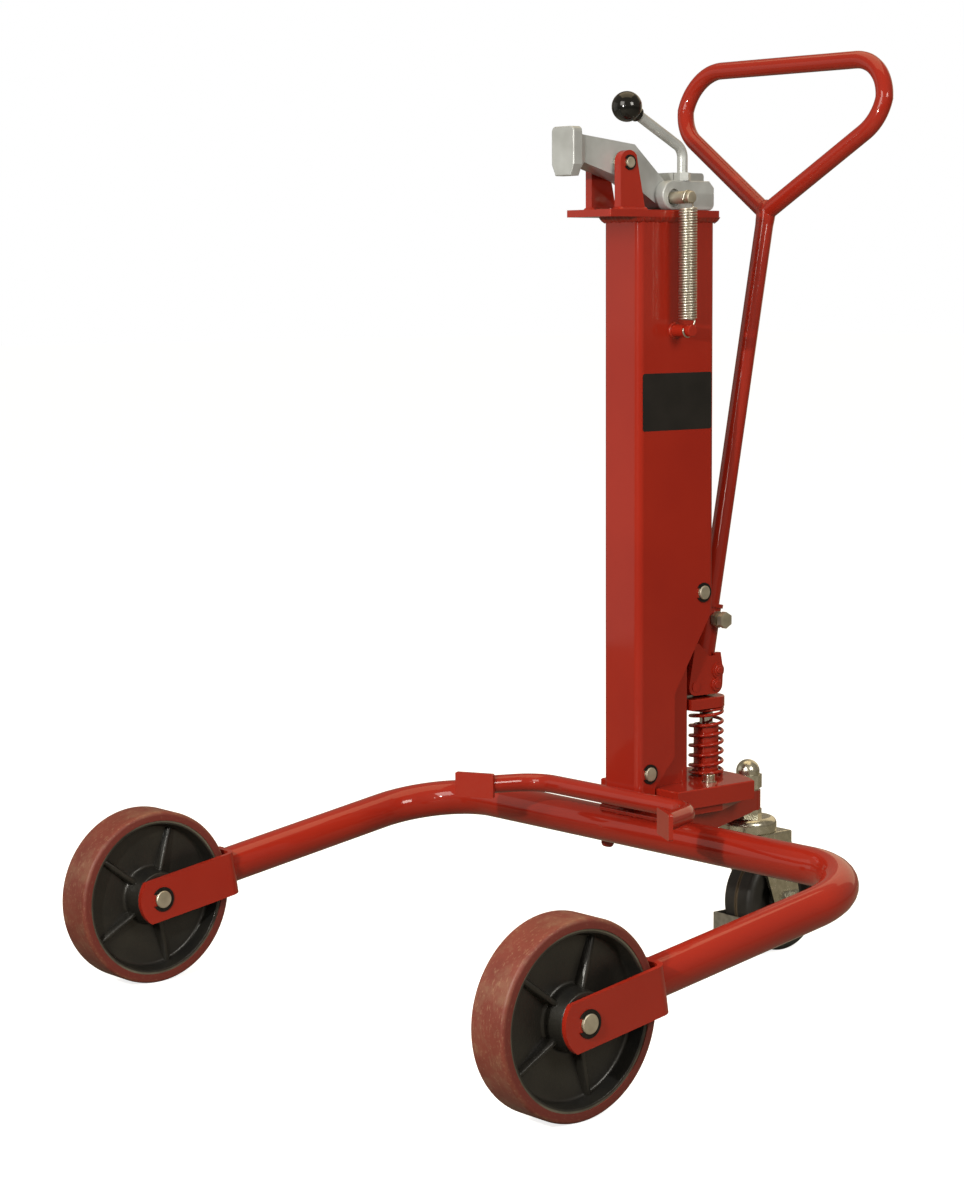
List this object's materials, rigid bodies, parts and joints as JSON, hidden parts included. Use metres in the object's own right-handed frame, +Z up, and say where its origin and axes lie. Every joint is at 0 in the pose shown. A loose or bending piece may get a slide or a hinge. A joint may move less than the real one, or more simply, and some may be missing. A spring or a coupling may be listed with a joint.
{
  "type": "hydraulic drum trolley",
  "caption": "Hydraulic drum trolley: a bent tube frame on wheels, a mast raised by a hand pump, and a spring-loaded jaw that grips the rim of an upright drum.",
  "frame": {"origin": "on the floor under the middle of the footprint", "axes": "+Z up; +Y from the drum side towards the operator; +X to the left of an operator facing the drum"},
  "size_m": [0.806, 0.8224, 1.0645],
  "materials": {
    "red_paint": "gloss enamel, lightly worn",
    "grey_paint": "silver grey enamel",
    "polyurethane": "matt, scuffed",
    "black_iron": "black satin coating",
    "zinc": "zinc plated",
    "steel": "machined",
    "chrome": "hard chrome",
    "black_clip": "blackened spring steel",
    "black_plastic": "gloss",
    "black_rubber": "matt"
  },
  "bodies": {
    "chassis": {"base_tube": "red_paint", "fork_left": "red_paint", "fork_right": "red_paint", "axle_left": "steel", "axle_right": "steel", "axle_clips": "black_clip", "base_bracket": "red_paint", "pump_block": "red_paint", "block_screws": "zinc", "column": "red_paint", "ram_cylinder": "steel", "pump_barrel": "steel", "lever_pivot_pin": "steel", "caster_stem": "steel", "acorn_nut": "zinc", "stem_fasteners": "zinc", "bearing_cap": "zinc", "pump_spring": "red_paint"},
    "wheel_left": {"tyre_left": "polyurethane", "wheel_core_left": "black_iron", "wheel_bearings_left": "steel"},
    "wheel_right": {"tyre_right": "polyurethane", "wheel_core_right": "black_iron", "wheel_bearings_right": "steel"},
    "caster_swivel": {"caster_yoke": "zinc", "wheel_guard": "zinc", "caster_axle": "zinc", "caster_nuts": "zinc"},
    "caster_wheel": {"caster_tyre": "black_rubber", "caster_core": "black_rubber"},
    "mast": {"mast_tube": "red_paint", "top_plate": "red_paint", "jaw_ears": "red_paint", "jaw_spacers": "zinc", "jaw_pivot_pin": "steel", "guide_pins": "steel", "mast_clips": "black_clip", "drum_bar": "red_paint", "bar_pads": "red_paint", "spring_anchor": "red_paint", "ram_rod": "chrome", "jaw_spring": "zinc"},
    "upper_guide": {"upper_guide_roller": "steel"},
    "lower_guide": {"lower_guide_roller": "steel"},
    "jaw": {"jaw_arm": "grey_paint", "cam_pin": "steel"},
    "cam": {"cam_block": "grey_paint", "ball_lever_rod": "steel", "lever_nut": "zinc", "ball_knob": "black_plastic"},
    "handle": {"pump_lever": "red_paint", "handle_tube": "red_paint", "clamp_bolt": "zinc", "clamp_nut": "zinc", "roller_axle": "steel"},
    "pump_roller": {"pump_roller": "steel"},
    "plunger": {"plunger": "chrome", "spring_seat": "red_paint"},
    "release_valve": {"release_valve": "red_paint"}
  },
  "joints": [
    {"name": "wheel_left_spin", "type": "hinge", "parent": "chassis", "child": "wheel_left", "pos_m": [0.365, -0.31125, 0.1], "axis": [1, 0, 0], "continuous": true},
    {"name": "wheel_right_spin", "type": "hinge", "parent": "chassis", "child": "wheel_right", "pos_m": [-0.365, -0.31125, 0.1], "axis": [1, 0, 0], "continuous": true},
    {"name": "caster_swivel_turn", "type": "hinge", "parent": "chassis", "child": "caster_swivel", "pos_m": [0, 0.30575, 0.1495], "axis": [0, 0, 1], "continuous": true},
    {"name": "caster_wheel_spin", "type": "hinge", "parent": "caster_swivel", "child": "caster_wheel", "pos_m": [0, 0.34875, 0.0625], "axis": [1, 0, 0], "continuous": true},
    {"name": "mast_lift", "type": "slide", "parent": "chassis", "child": "mast", "axis": [0, 0, 1], "range_m": [0, 0.25]},
    {"name": "upper_guide_spin", "type": "hinge", "parent": "mast", "child": "upper_guide", "pos_m": [0, 0.20105, 0.446], "axis": [1, 0, 0], "continuous": true},
    {"name": "lower_guide_spin", "type": "hinge", "parent": "mast", "child": "lower_guide", "pos_m": [0, 0.11645, 0.243], "axis": [1, 0, 0], "continuous": true},
    {"name": "jaw_tilt", "type": "hinge", "parent": "mast", "child": "jaw", "pos_m": [0, 0.08525, 0.935], "axis": [1, 0, 0], "range_deg": [0, 22], "stiffness_Nm_per_rad": 7, "springref_deg": -28.65, "deforming": ["jaw_spring"]},
    {"name": "cam_turn", "type": "hinge", "parent": "jaw", "child": "cam", "pos_m": [0, 0.15375, 0.897], "axis": [1, 0, 0], "range_deg": [-50.6, 0]},
    {"name": "handle_stroke", "type": "hinge", "parent": "chassis", "child": "handle", "pos_m": [0, 0.20025, 0.3348], "axis": [1, 0, 0], "range_deg": [-30, 0], "stiffness_Nm_per_rad": 8, "springref_deg": 34.38},
    {"name": "pump_roller_spin", "type": "hinge", "parent": "handle", "child": "pump_roller", "pos_m": [0, 0.23275, 0.3348], "axis": [1, 0, 0], "continuous": true},
    {"name": "plunger_stroke", "type": "slide", "parent": "chassis", "child": "plunger", "axis": [0, 0, 1], "range_m": [-0.01774, 0], "deforming": ["pump_spring"]},
    {"name": "release_turn", "type": "hinge", "parent": "chassis", "child": "release_valve", "pos_m": [-0.065, 0.17275, 0.21425], "axis": [1, 0, 0], "range_deg": [0, 60]}
  ],
  "couplings": [
    {"joint": "cam_turn", "follows": "jaw_tilt", "ratio": -2.3},
    {"joint": "plunger_stroke", "follows": "handle_stroke", "m_per_rad": 0.0335}
  ]
}
